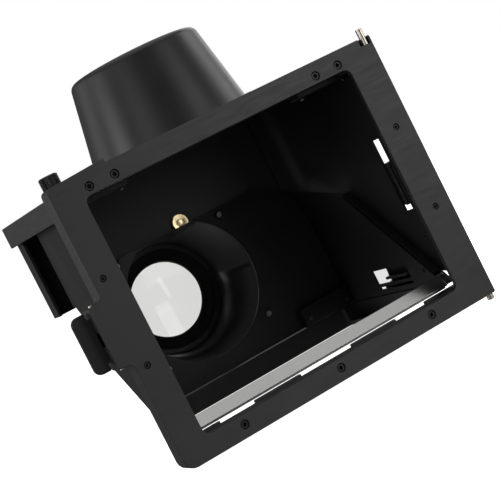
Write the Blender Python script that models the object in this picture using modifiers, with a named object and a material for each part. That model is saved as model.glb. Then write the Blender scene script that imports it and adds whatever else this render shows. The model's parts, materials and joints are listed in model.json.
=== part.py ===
"""Right-angle mirror viewing hood for the back of a large-format camera.

Frame of the part: the origin is the centre of the viewing opening on the front
face of the frame. +X runs along the long side of the frame, +Y points back into
the hood and +Z points up to the eyepiece.
"""
import math

import bmesh
import bpy
from mathutils import Matrix, Vector

MM = 0.001
GAP = 0.3 * MM

# Front frame
FRAME_LEFT = -76.1 * MM
FRAME_RIGHT = 79.2 * MM
FRAME_HALF_HEIGHT = 60.0 * MM
FRAME_THICK = 9.2 * MM
FRAME_CORNER = 2.0 * MM
OPENING_HALF_WIDTH = 63.55 * MM
OPENING_HALF_HEIGHT = 51.0 * MM
OPENING_CORNER = 3.0 * MM
LIP_THICK = 2.2 * MM
REBATE_OUTER = 69.2 * MM
REBATE_HALF_HEIGHT = 50.0 * MM
TAB_LEFT = -82.2 * MM
TAB_HALF_HEIGHT = 13.0 * MM
RIB_START = -72.0 * MM
RIB_END = -49.5 * MM
RIB_RISE = 1.6 * MM
SCREW_HEAD = 1.65 * MM
SMALL_SCREW_HEAD = 1.15 * MM
TOP_SCREW_X = (48.3 * MM, 59.6 * MM)
TOP_SCREW_Z = 54.2 * MM
BOTTOM_SCREW_X = 47.2 * MM
BOTTOM_SCREW_Z = -54.9 * MM
SIDE_SCREW_X = 71.4 * MM
SIDE_SCREW_Z = (20.6 * MM, -16.4 * MM)

# Hood body
HOOD_FRONT = 9.5 * MM
WALL_THICK = 1.2 * MM
WALL_OUTER = 70.5 * MM
WALL_FLANGE_OUTER = 73.9 * MM
WALL_TOP = 54.6 * MM
WALL_REAR_BOTTOM = 13.7 * MM
WALL_SKIRT_FRONT = 0.5 * MM
WALL_SKIRT_BOTTOM = 8.6 * MM
WALL_BEND_START = 50.0 * MM
WALL_BEND_RADIUS = 60.0 * MM
WALL_END_RADIUS = 8.0 * MM
WALL_END_Y = 82.9 * MM
WALL_END_FLANGE = 6.0 * MM
COVER_HALF_WIDTH = 76.0 * MM
COVER_REAR = 85.4 * MM
COVER_BOTTOM = 54.9 * MM
COVER_TOP = 56.7 * MM
COVER_LIP_BOTTOM = 47.5 * MM
COVER_LIP_THICK = 1.8 * MM
COVER_CORNER = 1.6 * MM
PANEL_HALF_WIDTH = 73.0 * MM
PANEL_THICK = 1.3 * MM
PANEL_REAR = 85.2 * MM
PANEL_CORNER = 0.9 * MM
PANEL_LIP_FRONT = 75.6 * MM
PANEL_BOTTOM = 12.4 * MM
PANEL_FOOT_FRONT = 79.5 * MM
PANEL_FOOT_THICK = 1.0 * MM
PANEL_FOOT_RIGHT = 48.4 * MM

# Mirror, set at 45 degrees: on its face, Z equals Y minus MIRROR_Y
MIRROR_Y = 57.8 * MM
GLASS_THICK = 1.8 * MM
GLASS_HALF_WIDTH = 67.8 * MM
GLASS_TOP_HALF_WIDTH = 35.6 * MM
GLASS_LOW = -62.8 * MM
GLASS_CHAMFER_START = 3.4 * MM
GLASS_HIGH = 32.8 * MM
CARRIER_THICK = 2.2 * MM
CARRIER_LOW = -65.8 * MM
CARRIER_HIGH = 29.0 * MM
CLIP_LOW = -68.9 * MM
CLIP_RISE = 0.9 * MM
CLIP_SLOPE = 0.14
CLIP_THICK = 0.6 * MM
CLIP_LEG_FRONT = 11.75 * MM
CLIP_LEG_REAR = 12.4 * MM
CLIP_LEG_BOTTOM = -50.05 * MM
CLIP_LEG_KNEE = -47.65 * MM
CARRIER_HALF_WIDTH = 70.4 * MM
SEAL_WIDTH = 3.0 * MM
SEAL_THICK = 1.2 * MM

# Eyepiece
EYE_Y = 50.5 * MM
EYE_HOLE_RADIUS = 32.9 * MM
EYE_FLANGE_RADIUS = 40.9 * MM
EYE_FLANGE_TOP = 59.4 * MM
EYE_BASE = 57.0 * MM
EYE_BASE_RADIUS = 36.2 * MM
EYE_RIM_CENTRE = 26.6 * MM
EYE_RIM_RADIUS = 3.2 * MM
EYE_RIM_Z = 94.2 * MM
EYE_THROAT_RADIUS = 27.0 * MM
EYE_SHELF_BOTTOM = 93.2 * MM
EYE_SHELF_TOP = 94.4 * MM
EYE_SHELF_RADIUS = 24.8 * MM
EYE_SCREW_X = 28.4 * MM
EYE_SCREW_Y = 26.4 * MM
CELL_TOP = 97.2 * MM
CELL_BOTTOM = 93.9 * MM
CELL_RADIUS = 25.6 * MM
LENS_APERTURE = 18.4 * MM
LENS_RADIUS = 20.6 * MM
LENS_TOP = 96.4 * MM
LENS_EDGE = 95.6 * MM
LENS_SAG = 2.8 * MM

# Hinge pins and latch
PIN_X = 77.0 * MM
PIN_Y = 2.4 * MM
PIN_RADIUS = 1.5 * MM
PIN_TOP = 64.0 * MM
PIN_BOTTOM = -62.3 * MM
UPPER_PIN_FOOT = 50.0 * MM
SPRING_TOP = 45.0 * MM
SPRING_RADIUS = 1.15 * MM
SPRING_WIRE = 0.25 * MM
SLIDER_LEFT = 74.9 * MM
SLIDER_RIGHT = 78.2 * MM
ARM_LOW = -12.7 * MM
ARM_HIGH = 16.7 * MM
THUMB_LEFT = 71.2 * MM
THUMB_LOW = -11.8 * MM
THUMB_HIGH = 8.2 * MM
POCKET_LOW = -13.3 * MM
POCKET_HIGH = 28.2 * MM
THUMB_SLOT = (14.7 * MM, 21.4 * MM, -14.1 * MM, 19.2 * MM)
ARM_SLOT = (12.0 * MM, 13.2 * MM, -14.1 * MM, 18.7 * MM)
WALL_HOLE = (16.3 * MM, -27.2 * MM)
WALL_HOLE_RADIUS = 0.8 * MM
NOTCH_FLOOR = 56.7 * MM
LATCH_X = -79.4 * MM
LATCH_Y = 5.2 * MM
LATCH_TIP = -89.4 * MM
LATCH_HALF_HEIGHT = 12.0 * MM
LATCH_PIN_HALF = 13.6 * MM
KNOB_X = -68.0 * MM
KNOB_Y = 16.0 * MM
KNOB_RADIUS = 4.0 * MM
ADJUSTER_X = -2.0 * MM
ADJUSTER_Z = 24.6 * MM
ADJUSTER_RADIUS = 4.0 * MM


# ---------------------------------------------------------------- set-up

def clear_scene():
    for obj in list(bpy.data.objects):
        bpy.data.objects.remove(obj, do_unlink=True)


def make_collection(name):
    collection = bpy.data.collections.new(name)
    bpy.context.scene.collection.children.link(collection)
    return collection


clear_scene()
PARTS = make_collection("reflex_viewing_hood")
CUTTERS = make_collection("cutters")


def make_material(name, colour, roughness, metallic=0.0, alpha=1.0):
    material = bpy.data.materials.new(name)
    material.use_nodes = True
    shader = material.node_tree.nodes["Principled BSDF"]
    shader.inputs["Base Color"].default_value = (*colour, 1.0)
    shader.inputs["Roughness"].default_value = roughness
    shader.inputs["Metallic"].default_value = metallic
    shader.inputs["Alpha"].default_value = alpha
    material.diffuse_color = (*colour, alpha)
    return material


ANODISED = make_material("black_anodised", (0.035, 0.035, 0.036), 0.45, 0.4)
PAINTED = make_material("matt_black_paint", (0.012, 0.012, 0.012), 0.6)
CONE_BLACK = make_material("satin_black_moulding", (0.025, 0.025, 0.026), 0.4)
SCREW_BLACK = make_material("black_oxide", (0.02, 0.02, 0.02), 0.5, 0.8)
NICKEL = make_material("nickel", (0.75, 0.72, 0.66), 0.2, 1.0)
ALUMINIUM = make_material("aluminium", (0.78, 0.78, 0.77), 0.25, 1.0)
BRASS = make_material("brass", (0.85, 0.66, 0.38), 0.25, 1.0)
SILVER = make_material("mirror_silver", (0.9, 0.9, 0.9), 0.02, 1.0)
GLASS = make_material("lens_glass", (0.95, 0.97, 0.97), 0.0, 0.0, 0.35)
FOAM = make_material("seal_foam", (0.01, 0.01, 0.01), 0.95)


# ---------------------------------------------------------------- shapes

def link_mesh(name, mesh, material, collection=None):
    obj = bpy.data.objects.new(name, mesh)
    (collection or PARTS).objects.link(obj)
    if material:
        mesh.materials.append(material)
    return obj


def smooth(obj):
    obj.data.shade_smooth()
    obj.data.set_sharp_from_angle(angle=math.radians(35))


def box(name, low, high, material=None, collection=None):
    """A box between two corners."""
    low, high = Vector(low), Vector(high)
    bm = bmesh.new()
    size = high - low
    matrix = Matrix.Translation((low + high) / 2) @ Matrix.Diagonal((*size, 1.0))
    bmesh.ops.create_cube(bm, size=1.0, matrix=matrix)
    mesh = bpy.data.meshes.new(name)
    bm.to_mesh(mesh)
    bm.free()
    return link_mesh(name, mesh, material, collection)


def add_rod(bm, start, end, radius, segments):
    """Adds a cylinder between two points to a bmesh."""
    start, end = Vector(start), Vector(end)
    axis = end - start
    turn = axis.to_track_quat("Z", "Y").to_matrix().to_4x4()
    matrix = Matrix.Translation((start + end) / 2) @ turn
    bmesh.ops.create_cone(bm, cap_ends=True, segments=segments, radius1=radius,
                          radius2=radius, depth=axis.length, matrix=matrix)


def rods(name, spans, radius, material=None, collection=None, segments=16):
    """One object with a cylinder for each (start, end) pair."""
    bm = bmesh.new()
    for start, end in spans:
        add_rod(bm, start, end, radius, segments)
    mesh = bpy.data.meshes.new(name)
    bm.to_mesh(mesh)
    bm.free()
    obj = link_mesh(name, mesh, material, collection)
    smooth(obj)
    return obj


def curve_to_mesh(obj, material, collection):
    """Replaces a curve object by a welded mesh object of the same name."""
    bpy.context.view_layer.update()
    depsgraph = bpy.context.evaluated_depsgraph_get()
    mesh = bpy.data.meshes.new_from_object(obj.evaluated_get(depsgraph))
    matrix = obj.matrix_world.copy()
    name = obj.name
    curve = obj.data
    bpy.data.objects.remove(obj, do_unlink=True)
    bpy.data.curves.remove(curve)
    bm = bmesh.new()
    bm.from_mesh(mesh)
    bmesh.ops.remove_doubles(bm, verts=bm.verts, dist=1e-6)
    bm.to_mesh(mesh)
    bm.free()
    mesh.materials.clear()
    mesh.name = name
    result = link_mesh(name, mesh, material, collection)
    result.matrix_world = matrix
    return result


def plate(name, outlines, thickness, matrix, material=None, collection=None):
    """A flat plate: outlines lie in local XY, the thickness is centred on local Z."""
    curve = bpy.data.curves.new(name, "CURVE")
    curve.dimensions = "2D"
    curve.fill_mode = "BOTH"
    curve.extrude = thickness / 2
    for outline in outlines:
        spline = curve.splines.new("POLY")
        spline.points.add(len(outline) - 1)
        for point, (x, y) in zip(spline.points, outline):
            point.co = (x, y, 0.0, 1.0)
        spline.use_cyclic_u = True
    obj = bpy.data.objects.new(name, curve)
    PARTS.objects.link(obj)
    obj.matrix_world = matrix
    return curve_to_mesh(obj, material, collection)


def arc(cx, cy, radius, start, end, steps):
    """Points on an arc, angles in degrees."""
    points = []
    for i in range(steps + 1):
        angle = math.radians(start + (end - start) * i / steps)
        points.append((cx + radius * math.cos(angle), cy + radius * math.sin(angle)))
    return points


def circle(cx, cy, radius, steps, phase=0):
    return arc(cx, cy, radius, phase, phase + 360, steps)[:-1]


def rounded_rectangle(x0, y0, x1, y1, radius, steps=4):
    points = arc(x1 - radius, y0 + radius, radius, -90, 0, steps)
    points += arc(x1 - radius, y1 - radius, radius, 0, 90, steps)
    points += arc(x0 + radius, y1 - radius, radius, 90, 180, steps)
    points += arc(x0 + radius, y0 + radius, radius, 180, 270, steps)
    return points


def turned(name, profile, location, material, segments, closed=True):
    """A turned piece: the (radius, height) profile runs down its outer side."""
    bm = bmesh.new()
    verts = [bm.verts.new((r, 0.0, z)) for r, z in profile]
    pairs = list(zip(verts, verts[1:]))
    if closed:
        pairs.append((verts[-1], verts[0]))
    for pair in pairs:
        bm.edges.new(pair)
    mesh = bpy.data.meshes.new(name)
    bm.to_mesh(mesh)
    bm.free()
    obj = link_mesh(name, mesh, material)
    obj.location = location
    screw = obj.modifiers.new("screw", "SCREW")
    screw.steps = segments
    screw.render_steps = segments
    screw.use_merge_vertices = True
    screw.merge_threshold = 0.00001
    screw.use_smooth_shade = True
    return obj


def boolean(obj, other, operation="DIFFERENCE"):
    other.hide_render = True
    other.display_type = "WIRE"
    modifier = obj.modifiers.new(operation.lower(), "BOOLEAN")
    modifier.operation = operation
    modifier.solver = "EXACT"
    modifier.object = other
    return modifier


def bevel(obj, width, segments=2, angle=40):
    modifier = obj.modifiers.new("bevel", "BEVEL")
    modifier.width = width
    modifier.segments = segments
    modifier.limit_method = "ANGLE"
    modifier.angle_limit = math.radians(angle)
    modifier.harden_normals = False


# Planes for plates: local XY to world
FACING_FRONT = Matrix(((1, 0, 0, 0), (0, 0, -1, 0), (0, 1, 0, 0), (0, 0, 0, 1)))
FACING_SIDE = Matrix(((0, 0, 1, 0), (1, 0, 0, 0), (0, 1, 0, 0), (0, 0, 0, 1)))
ROOT_HALF = math.sqrt(0.5)
MIRROR_PLANE = Matrix(((1, 0, 0, 0),
                       (0, ROOT_HALF, -ROOT_HALF, MIRROR_Y),
                       (0, ROOT_HALF, ROOT_HALF, 0),
                       (0, 0, 0, 1)))


def front_plane(y):
    """Local XY becomes world XZ at this Y."""
    return Matrix.Translation((0, y, 0)) @ FACING_FRONT


def side_plane(x):
    """Local XY becomes world YZ at this X."""
    return Matrix.Translation((x, 0, 0)) @ FACING_SIDE


def mirror_plane(offset):
    """Local XY becomes the mirror's plane, this far out of its face."""
    return MIRROR_PLANE @ Matrix.Translation((0, 0, offset))


# ---------------------------------------------------------------- front frame

def screw_places():
    """X, Z and head radius of every screw in the front face."""
    top = [(side * x, TOP_SCREW_Z, SCREW_HEAD) for x in TOP_SCREW_X for side in (-1, 1)]
    bottom = [(x, BOTTOM_SCREW_Z, SCREW_HEAD) for x in (-BOTTOM_SCREW_X, 0, BOTTOM_SCREW_X)]
    sides = [(side * SIDE_SCREW_X, z, SMALL_SCREW_HEAD) for z in SIDE_SCREW_Z for side in (-1, 1)]
    return top, bottom, sides


def frame_outline():
    """Outer edge of the frame, anticlockwise seen from the front, with its latch tab."""
    h, r = FRAME_HALF_HEIGHT, FRAME_CORNER
    left, right, tab = FRAME_LEFT, FRAME_RIGHT, TAB_LEFT
    tab_r = 2.5 * MM
    points = arc(right - 0.6 * MM, -h + 0.6 * MM, 0.6 * MM, -90, 0, 2)
    points += arc(right - 0.6 * MM, h - 0.6 * MM, 0.6 * MM, 0, 90, 2)
    points += [(RIB_END, h), (RIB_END, h + RIB_RISE), (RIB_START, h + 0.1 * MM)]
    points += arc(left + r, h - r, r, 90, 180, 4)
    points += arc(left - tab_r, TAB_HALF_HEIGHT + tab_r, tab_r, 0, -90, 4)
    points += arc(tab + 1.2 * MM, TAB_HALF_HEIGHT - 1.2 * MM, 1.2 * MM, 90, 180, 3)
    points += arc(tab + 1.2 * MM, -TAB_HALF_HEIGHT + 1.2 * MM, 1.2 * MM, 180, 270, 3)
    points += arc(left - tab_r, -TAB_HALF_HEIGHT - tab_r, tab_r, 90, 0, 4)
    points += arc(left + 4.5 * MM, -h + 4.5 * MM, 4.5 * MM, 180, 270, 4)
    return points


def front_frame():
    outlines = [frame_outline()]
    w, h = OPENING_HALF_WIDTH, OPENING_HALF_HEIGHT
    outlines.append(rounded_rectangle(-w, -h, w, h, OPENING_CORNER, 5))
    for group in screw_places():
        for x, z, head in group:
            # Each hole starts at its own angle, which keeps the points of a row off one line
            outlines.append(circle(x, z, head + 0.2 * MM, 12, 2 * len(outlines)))
    frame = plate("front_frame", outlines, FRAME_THICK, front_plane(FRAME_THICK / 2), ANODISED)
    # Behind a thin lip, both side bars are cut back flush with the side walls
    for title, side in (("left", -1), ("right", 1)):
        near, far = sorted((side * 62 * MM, side * REBATE_OUTER))
        rebate = box(f"cut_rebate_{title}", (near, LIP_THICK, -REBATE_HALF_HEIGHT),
                     (far, 12 * MM, REBATE_HALF_HEIGHT), None, CUTTERS)
        boolean(frame, rebate)
    # Bores for the two hinge pins, and the back pocket for the lower one's slider
    bore = rods("cut_pin_bores", [
        ((PIN_X, PIN_Y, UPPER_PIN_FOOT - GAP), (PIN_X, PIN_Y, 70 * MM)),
        ((PIN_X, PIN_Y, -70 * MM), (PIN_X, PIN_Y, SPRING_TOP + GAP)),
    ], PIN_RADIUS + GAP, None, CUTTERS)
    boolean(frame, bore)
    notch = box("cut_pin_notch", (73.2 * MM, -1 * MM, NOTCH_FLOOR), (78.3 * MM, 7.4 * MM, 70 * MM),
                None, CUTTERS)
    boolean(frame, notch)
    pocket = box("cut_slider_pocket", (SLIDER_LEFT - GAP, PIN_Y - GAP, POCKET_LOW), (SLIDER_RIGHT + GAP, 12 * MM, POCKET_HIGH),
                 None, CUTTERS)
    boolean(frame, pocket)
    # Room for the latch lever's barrel and plate behind the tab's front skin
    latch_room = box("cut_latch_room", (-95 * MM, 2.0 * MM, -9.6 * MM), (-76.6 * MM, 12 * MM, 9.6 * MM),
                     None, CUTTERS)
    boolean(frame, latch_room)
    latch_bore = rods("cut_latch_bore", [((LATCH_X, LATCH_Y, -20 * MM), (LATCH_X, LATCH_Y, 20 * MM))],
                      1.0 * MM + GAP, None, CUTTERS, 12)
    boolean(frame, latch_bore)
    return frame


def socket_screw(name, head, length, location, turn, material=SCREW_BLACK, shank=None):
    """A turned screw with a recess in its head; its head faces local +Z."""
    recess = head * 0.45
    shank = shank or head
    head_depth = min(1.4 * MM, length / 2)
    profile = [(0, -0.5 * head), (recess, -0.5 * head), (recess, 0), (head - 0.15 * MM, 0)]
    profile += [(head, -0.15 * MM), (head, -head_depth)]
    if shank < head:
        profile.append((shank, -head_depth))
    profile += [(shank, -length), (0, -length)]
    screw = turned(name, profile, location, material, 10, closed=False)
    screw.rotation_euler = turn
    return screw


TO_FRONT = (math.radians(90), 0, 0)
TO_FLOOR = (math.radians(180), 0, 0)
UPRIGHT = (0, 0, 0)


def frame_screws():
    top, bottom, sides = screw_places()
    for title, group in (("top", top), ("bottom", bottom), ("side", sides)):
        for number, (x, z, head) in enumerate(group, 1):
            socket_screw(f"frame_screw_{title}_{number}", head, 8.4 * MM, (x, 0.5 * MM, z), TO_FRONT)


# ---------------------------------------------------------------- hood body

def wall_path():
    """Plan of the right wall's middle surface: flange, flat, wide bend, end bend, flange."""
    middle = WALL_OUTER - WALL_THICK / 2
    front = HOOD_FRONT + WALL_THICK / 2
    centre_x = middle - WALL_BEND_RADIUS
    inner = WALL_BEND_RADIUS - WALL_END_RADIUS
    rise = WALL_END_Y - WALL_END_RADIUS - WALL_BEND_START
    turn = math.degrees(math.asin(rise / inner))
    end_x = centre_x + inner * math.cos(math.radians(turn))
    points = [(WALL_FLANGE_OUTER, front), (middle, front)]
    points += arc(centre_x, WALL_BEND_START, WALL_BEND_RADIUS, 0, turn, 14)
    points += arc(end_x, WALL_BEND_START + rise, WALL_END_RADIUS, turn, 90, 6)[1:]
    points.append((end_x - WALL_END_FLANGE, WALL_END_Y))
    return points


def wall_profile(side):
    """Side view of a wall: it stops short of the carrier. The left one steps up at the corner."""
    carrier_top = MIRROR_Y + (GLASS_THICK + GAP) / ROOT_HALF
    clear = 0.5 * MM
    low_y = 17.0 * MM
    foot_y = 64.0 * MM
    points = [(HOOD_FRONT - MM, WALL_TOP), (HOOD_FRONT - MM, -44.0 * MM), (12.2 * MM, -44.0 * MM),
              (low_y, low_y - carrier_top + clear), (foot_y, foot_y - carrier_top + clear)]
    if side < 0:
        points += [(61.5 * MM, 8.6 * MM), (53.0 * MM, 9.4 * MM),
                   (53.0 * MM + WALL_REAR_BOTTOM - 9.4 * MM, WALL_REAR_BOTTOM), (90 * MM, WALL_REAR_BOTTOM)]
    else:
        points[-1] = (63.4 * MM, 63.4 * MM - carrier_top + clear)
        points += [(64.6 * MM, WALL_SKIRT_FRONT), (WALL_END_Y, WALL_SKIRT_BOTTOM), (90 * MM, WALL_SKIRT_BOTTOM)]
    points.append((90 * MM, WALL_TOP))
    return points


def side_wall(name, side):
    bm = bmesh.new()
    low, high = -70 * MM, 70 * MM
    verts = [bm.verts.new((side * x, y, low)) for x, y in wall_path()]
    edges = [bm.edges.new(pair) for pair in zip(verts, verts[1:])]
    made = bmesh.ops.extrude_edge_only(bm, edges=edges)
    tops = [item for item in made["geom"] if isinstance(item, bmesh.types.BMVert)]
    bmesh.ops.translate(bm, verts=tops, vec=(0, 0, high - low))
    mesh = bpy.data.meshes.new(name)
    bm.to_mesh(mesh)
    bm.free()
    wall = link_mesh(name, mesh, PAINTED)
    solidify = wall.modifiers.new("solidify", "SOLIDIFY")
    solidify.thickness = WALL_THICK
    solidify.offset = 0.0
    solidify.use_even_offset = True
    keep = plate("cut_" + name, [wall_profile(side)], 60 * MM, side_plane(side * 60 * MM), None, CUTTERS)
    boolean(wall, keep, "INTERSECT")
    if side > 0:
        for title, (front, rear, bottom, top) in (("thumb", THUMB_SLOT), ("arm", ARM_SLOT)):
            slot = box(f"cut_{title}_slot", (66 * MM, front, bottom), (73 * MM, rear, top), None, CUTTERS)
            boolean(wall, slot)
        span = [((66 * MM, *WALL_HOLE), (73 * MM, *WALL_HOLE))]
        boolean(wall, rods("cut_wall_hole", span, WALL_HOLE_RADIUS, None, CUTTERS, 12))
    return wall


def top_cover():
    """Lid with two turned-down side lips, the eyepiece hole and its four screw holes."""
    width, rear, r = COVER_HALF_WIDTH, COVER_REAR, COVER_CORNER
    outline = [(-width, HOOD_FRONT), (width, HOOD_FRONT)]
    outline += arc(width - r, rear - r, r, 0, 90, 4)
    outline += arc(-width + r, rear - r, r, 90, 180, 4)
    height = COVER_TOP - COVER_LIP_BOTTOM
    middle = Matrix.Translation((0, 0, (COVER_TOP + COVER_LIP_BOTTOM) / 2))
    cover = plate("top_cover", [outline, circle(0, EYE_Y, EYE_HOLE_RADIUS, 56)], height, middle, ANODISED)
    inside = width - COVER_LIP_THICK
    hollow = box("cut_cover_inside", (-inside, 0, 30 * MM), (inside, 100 * MM, COVER_BOTTOM),
                 None, CUTTERS)
    boolean(cover, hollow)
    spans = [((x, y, 50 * MM), (x, y, 60 * MM)) for x, y in eyepiece_screw_places()]
    spans.append(((KNOB_X, KNOB_Y, 50 * MM), (KNOB_X, KNOB_Y, 60 * MM)))
    holes = rods("cut_cover_screws", spans, 1.5 * MM + GAP, None, CUTTERS, 12)
    boolean(cover, holes)
    return cover


def back_panel():
    """Rear panel with forward side lips and a small inward foot."""
    w, t = PANEL_HALF_WIDTH, PANEL_THICK
    rear, lip = PANEL_REAR, PANEL_LIP_FRONT
    outline = [(-w, lip), (-w + t, lip), (-w + t, rear - t), (w - t, rear - t), (w - t, lip), (w, lip)]
    r = PANEL_CORNER
    outline += arc(w - r, rear - r, r, 0, 90, 3)
    outline += arc(-w + r, rear - r, r, 90, 180, 3)
    height = WALL_TOP - PANEL_BOTTOM
    middle = Matrix.Translation((0, 0, (WALL_TOP + PANEL_BOTTOM) / 2))
    panel = plate("back_panel", [outline], height, middle, ANODISED)
    foot_low = PANEL_BOTTOM + 0.1 * MM
    foot = box("join_panel_foot", (-w + t / 2, PANEL_FOOT_FRONT, foot_low),
               (PANEL_FOOT_RIGHT, rear - t / 2, foot_low + PANEL_FOOT_THICK), None, CUTTERS)
    boolean(panel, foot, "UNION")
    hole = rods("cut_panel_adjuster", [((ADJUSTER_X, 70 * MM, ADJUSTER_Z), (ADJUSTER_X, 90 * MM, ADJUSTER_Z))],
                2.0 * MM + GAP, None, CUTTERS, 16)
    boolean(panel, hole)
    return panel


def corner_block(name, side):
    """Block behind each end of the top bar, tapped for the upper frame screws."""
    low_x, high_x = sorted((side * 41.5 * MM, side * 68.8 * MM))
    block = box(name, (low_x, HOOD_FRONT, 49.0 * MM), (high_x, 19.0 * MM, WALL_TOP), PAINTED)
    bevel(block, 0.5 * MM, 2)
    return block


def block_screws():
    """Small screws up into the corner blocks, heads on the underside."""
    number = 0
    for side in (-1, 1):
        for x, y in ((44.2 * MM, 13.2 * MM), (65.6 * MM, 12.6 * MM)):
            number += 1
            socket_screw(f"block_screw_{number}", 1.1 * MM, 1.0 * MM, (side * x, y, 47.7 * MM), TO_FLOOR, NICKEL)


def lower_rail():
    """Rail behind the bottom bar. Three shallow notches in its top edge let light pass."""
    low, high, notch = -59.0 * MM, -50.2 * MM, -51.7 * MM
    points = [(-68.5 * MM, low), (68.5 * MM, low), (68.5 * MM, high)]
    for centre, half in ((44 * MM, 8 * MM), (0, 13 * MM), (-44 * MM, 8.5 * MM)):
        points += [(centre + half, high), (centre + half, notch), (centre - half, notch), (centre - half, high)]
    points.append((-68.5 * MM, high))
    return plate("lower_rail", [points], 2.0 * MM, front_plane(HOOD_FRONT + 1.0 * MM), ANODISED)


def corner_web(name, side):
    """Closes the corner outside the mirror's cut corner: a shelf, and a ledge and flange joined to it."""
    shelf_low, shelf_high = 14.0 * MM, 15.2 * MM
    thick = 1.2 * MM
    inner = WALL_BEND_RADIUS - WALL_THICK / 2 - 0.4 * MM
    centre_x = WALL_OUTER - WALL_THICK / 2 - WALL_BEND_RADIUS
    outline = [(61.4 * MM, 57.2 * MM), (49.8 * MM, 72.8 * MM), (50.8 * MM, 73.0 * MM), (47.0 * MM, 80.0 * MM),
               (47.0 * MM, 81.0 * MM), (56.0 * MM, 81.0 * MM)]
    outline += arc(centre_x, WALL_BEND_START, inner, 30.0, 7.0, 9)
    outline = [(side * x, y) for x, y in outline]
    middle = Matrix.Translation((0, 0, (shelf_low + shelf_high) / 2))
    shelf = plate(name, [outline], shelf_high - shelf_low, middle, PAINTED)
    # The ledge lies parallel to the mirror, its top 11.6 mm out from it
    ledge = [(66.9 * MM, 3.6 * MM), (68.7 * MM, 3.6 * MM), (68.2 * MM, 10.0 * MM), (60.9 * MM, 10.0 * MM)]
    joined = plate("join_ledge_" + name, [[(side * x, along) for x, along in ledge]], thick,
                   mirror_plane(11.0 * MM), None, CUTTERS)
    boolean(shelf, joined, "UNION")
    # The flange stands square on the mirror, along the outside of the glass's cut edge
    edge = Vector((GLASS_TOP_HALF_WIDTH - GLASS_HALF_WIDTH, GLASS_HIGH - GLASS_CHAMFER_START)).normalized()
    start = Vector((GLASS_HALF_WIDTH, GLASS_CHAMFER_START)) + Vector((edge.y, -edge.x)) * 1.1 * MM
    along = MIRROR_PLANE.to_3x3() @ Vector((side * edge.x, edge.y, 0))
    normal = MIRROR_PLANE.to_3x3() @ Vector((0, 0, 1))
    matrix = Matrix((along, normal, along.cross(normal))).transposed().to_4x4()
    matrix.translation = MIRROR_PLANE @ Vector((side * start.x, start.y, 0))
    flange = [(2.0 * MM, -1.5 * MM), (24.0 * MM, -1.5 * MM), (24.0 * MM, 0.2 * MM), (8.1 * MM, 10.9 * MM),
              (2.0 * MM, 10.9 * MM)]
    joined = plate("join_flange_" + name, [flange], thick, matrix, None, CUTTERS)
    boolean(shelf, joined, "UNION")
    return shelf


# ---------------------------------------------------------------- mirror

def along_mirror(y, z):
    """A point of the side view as (up the mirror, out of the mirror)."""
    return ((y - MIRROR_Y + z) * ROOT_HALF, (MIRROR_Y - y + z) * ROOT_HALF)


def mirror_outline(half, top_half, low, chamfer, high):
    return [(-half, low), (half, low), (half, chamfer), (top_half, high), (-top_half, high), (-half, chamfer)]


def mirror_group():
    glass = plate("mirror_glass", [mirror_outline(GLASS_HALF_WIDTH, GLASS_TOP_HALF_WIDTH, GLASS_LOW,
                                                  GLASS_CHAMFER_START, GLASS_HIGH)],
                  GLASS_THICK, mirror_plane(-GLASS_THICK / 2), SILVER)
    slope = (GLASS_HALF_WIDTH - GLASS_TOP_HALF_WIDTH) / (GLASS_HIGH - GLASS_CHAMFER_START)
    top_half = GLASS_TOP_HALF_WIDTH + slope * (GLASS_HIGH - CARRIER_HIGH)
    back = -GLASS_THICK - GAP - CARRIER_THICK / 2
    plate("mirror_carrier", [mirror_outline(CARRIER_HALF_WIDTH, top_half, CARRIER_LOW,
                                            GLASS_CHAMFER_START - 4.0 * MM, CARRIER_HIGH)],
          CARRIER_THICK, mirror_plane(back), PAINTED)
    # Strip along the foot of the glass, as an outline drawn out along X. Its face falls off
    # downwards, and a leg behind it shuts the gap over the lower rail
    leg_top = CLIP_LEG_FRONT - MIRROR_Y - CLIP_THICK / ROOT_HALF
    shape = [along_mirror(CLIP_LEG_FRONT, leg_top), along_mirror(CLIP_LEG_FRONT, CLIP_LEG_BOTTOM),
             along_mirror(CLIP_LEG_REAR, CLIP_LEG_BOTTOM), along_mirror(CLIP_LEG_REAR, CLIP_LEG_KNEE),
             (GLASS_LOW - GAP, 0.2 * MM - GLASS_THICK), (GLASS_LOW - GAP, CLIP_RISE),
             (CLIP_LOW, CLIP_RISE + (CLIP_LOW - GLASS_LOW) * CLIP_SLOPE), (CLIP_LOW, -CLIP_THICK)]
    turn = MIRROR_PLANE @ FACING_SIDE
    plate("mirror_lower_clip", [shape], 130 * MM, turn, ALUMINIUM)
    for name, side in (("mirror_seal_left", -1), ("mirror_seal_right", 1)):
        x0, x1 = sorted((side * (GLASS_HALF_WIDTH + 0.2 * MM), side * (GLASS_HALF_WIDTH - SEAL_WIDTH)))
        strip = [(x0, GLASS_LOW + 2.0 * MM), (x1, GLASS_LOW + 2.0 * MM),
                 (x1, GLASS_CHAMFER_START - 0.5 * MM), (x0, GLASS_CHAMFER_START - 0.5 * MM)]
        plate(name, [strip], SEAL_THICK, mirror_plane(GAP + SEAL_THICK / 2), FOAM)
    return glass


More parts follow.
